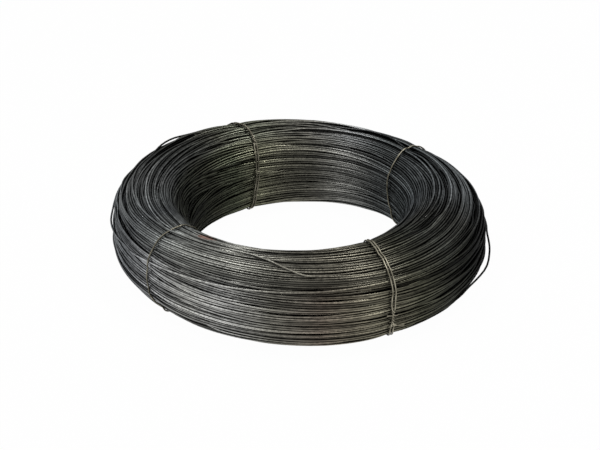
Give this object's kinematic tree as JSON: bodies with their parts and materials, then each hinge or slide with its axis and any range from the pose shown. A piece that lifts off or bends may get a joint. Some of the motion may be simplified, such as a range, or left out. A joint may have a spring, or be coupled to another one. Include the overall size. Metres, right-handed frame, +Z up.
{
  "type": "coil of spring steel wire",
  "caption": "Ring-shaped coil of round drawn spring steel wire, lying flat, wound over a round eye and bound by wire ties.",
  "frame": {"origin": "on the floor under the coil, on the axis of its eye", "axes": "+Z up along the axis of the eye; -Y towards the side that carries the loose end of the wire; +X to the right seen from there"},
  "size_m": [0.5745, 0.5599, 0.1238],
  "materials": {
    "spring_steel_wire": "dark oiled drawn steel wire, semi-gloss",
    "tie_wire": "dull soft annealed steel wire"
  },
  "bodies": {
    "root": {"wire_coil": "spring_steel_wire", "tie_front_left": "tie_wire", "tie_front_right": "tie_wire", "tie_back_left": "tie_wire", "tie_back_right": "tie_wire"}
  },
  "joints": []
}
